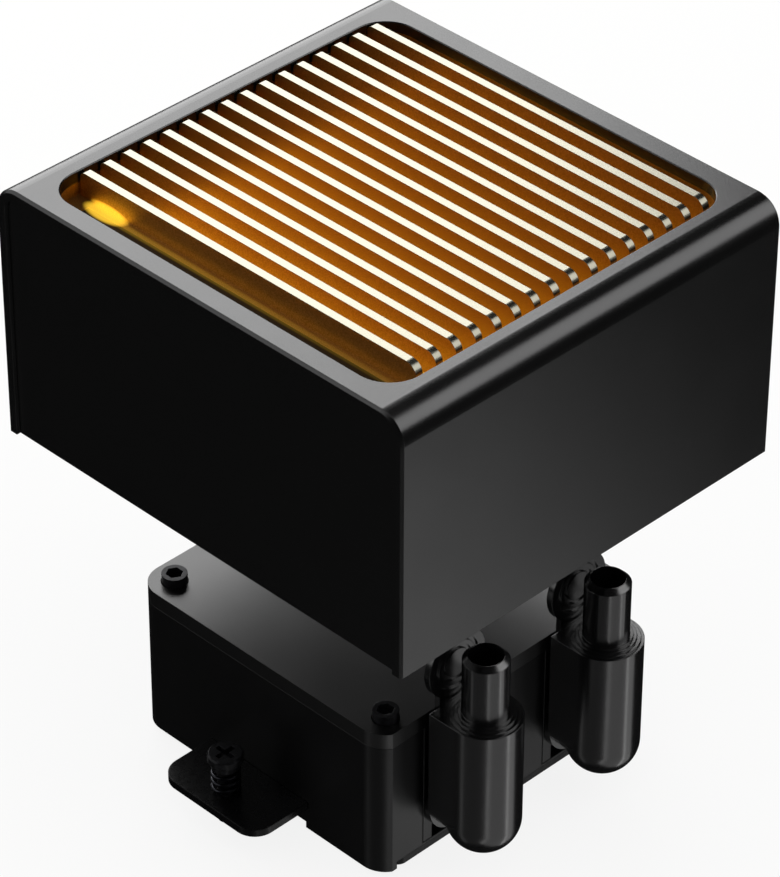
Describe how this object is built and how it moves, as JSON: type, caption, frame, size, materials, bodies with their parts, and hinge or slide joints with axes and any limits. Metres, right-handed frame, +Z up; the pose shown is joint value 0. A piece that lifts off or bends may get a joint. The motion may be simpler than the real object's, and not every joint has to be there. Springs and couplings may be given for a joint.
{
  "type": "liquid cooler pump head",
  "caption": "Processor liquid-cooling pump block with copper cold plate, swivel hose elbows, spring-screw tabs and a lift-off square cap with a lit fin grille.",
  "frame": {"origin": "centre of the cold plate's contact face", "axes": "+Z up out of the processor, +X towards the side with the hose elbows, -Y the front"},
  "size_m": [0.0926, 0.0856, 0.1102],
  "materials": {
    "black_anodised": "black anodised, fine satin",
    "gold_anodised": "gold anodised with bright-cut edges",
    "amber_diffuser": "translucent amber",
    "black_plastic": "fine moulded grain",
    "circuit_board": "solder mask",
    "light_chip": "white package",
    "magnet": "nickel plated",
    "copper": "skived and lapped copper",
    "rubber": "matt",
    "black_steel": "black coated steel",
    "black_screw": "black oxide",
    "black_coated_elbow": "satin black coating on turned metal",
    "ceramic": "polished ceramic",
    "ferrite": "sintered",
    "iron_stack": "laminated",
    "copper_wire": "enamelled winding",
    "spring_steel": "dark spring wire"
  },
  "bodies": {
    "block": {"cold_plate": "copper", "plate_gasket": "rubber", "base_plate": "black_steel", "base_screws": "black_screw", "pump_housing": "black_plastic", "housing_lid": "black_anodised", "dock_magnets": "magnet", "lid_screws": "black_screw", "jet_plate": "black_plastic", "pump_shaft": "ceramic", "thrust_washers": "ceramic", "stator_core": "iron_stack", "stator_coils": "copper_wire", "control_board": "circuit_board", "power_socket": "black_plastic", "tab_screws": "black_screw", "front_port_retainer": "black_plastic", "rear_port_retainer": "black_plastic", "front_mounting_tab": "black_steel", "rear_mounting_tab": "black_steel"},
    "cap": {"cap_wrap": "black_anodised", "cap_front_panel": "black_anodised", "cap_rear_panel": "black_anodised", "fin_grille": "gold_anodised", "light_diffuser": "amber_diffuser", "light_board": "circuit_board", "light_chips": "light_chip", "cap_carrier": "black_plastic", "cap_magnets": "magnet"},
    "impeller": {"impeller": "black_plastic", "impeller_bush": "ceramic", "rotor_magnet": "ferrite"},
    "front_elbow": {"front_elbow": "black_coated_elbow", "front_elbow_seals": "rubber", "front_key_plate": "black_coated_elbow"},
    "front_screw": {"front_spring_screw": "black_screw", "front_screw_clip": "black_screw", "front_screw_spring": "spring_steel"},
    "rear_elbow": {"rear_elbow": "black_coated_elbow", "rear_elbow_seals": "rubber", "rear_key_plate": "black_coated_elbow"},
    "rear_screw": {"rear_spring_screw": "black_screw", "rear_screw_clip": "black_screw", "rear_screw_spring": "spring_steel"}
  },
  "joints": [
    {"name": "cap_lift", "type": "slide", "parent": "block", "child": "cap", "axis": [0, 0, 1], "range_m": [-0.0407, 0]},
    {"name": "impeller_spin", "type": "hinge", "parent": "block", "child": "impeller", "pos_m": [0, 0, 0.014], "axis": [0, 0, 1], "continuous": true},
    {"name": "front_elbow_swivel", "type": "hinge", "parent": "block", "child": "front_elbow", "pos_m": [0.0375, -0.01445, 0.0108], "axis": [1, 0, 0], "range_deg": [-12, 90]},
    {"name": "front_screw_press", "type": "slide", "parent": "block", "child": "front_screw", "axis": [0, 0, 1], "range_m": [-0.003, 0], "stiffness_N_per_m": 900, "springref_m": 0.002, "deforming": ["front_screw_spring"]},
    {"name": "rear_elbow_swivel", "type": "hinge", "parent": "block", "child": "rear_elbow", "pos_m": [0.0375, 0.01445, 0.0108], "axis": [1, 0, 0], "range_deg": [-90, 12]},
    {"name": "rear_screw_press", "type": "slide", "parent": "block", "child": "rear_screw", "axis": [0, 0, 1], "range_m": [-0.003, 0], "stiffness_N_per_m": 900, "springref_m": 0.002, "deforming": ["rear_screw_spring"]}
  ]
}
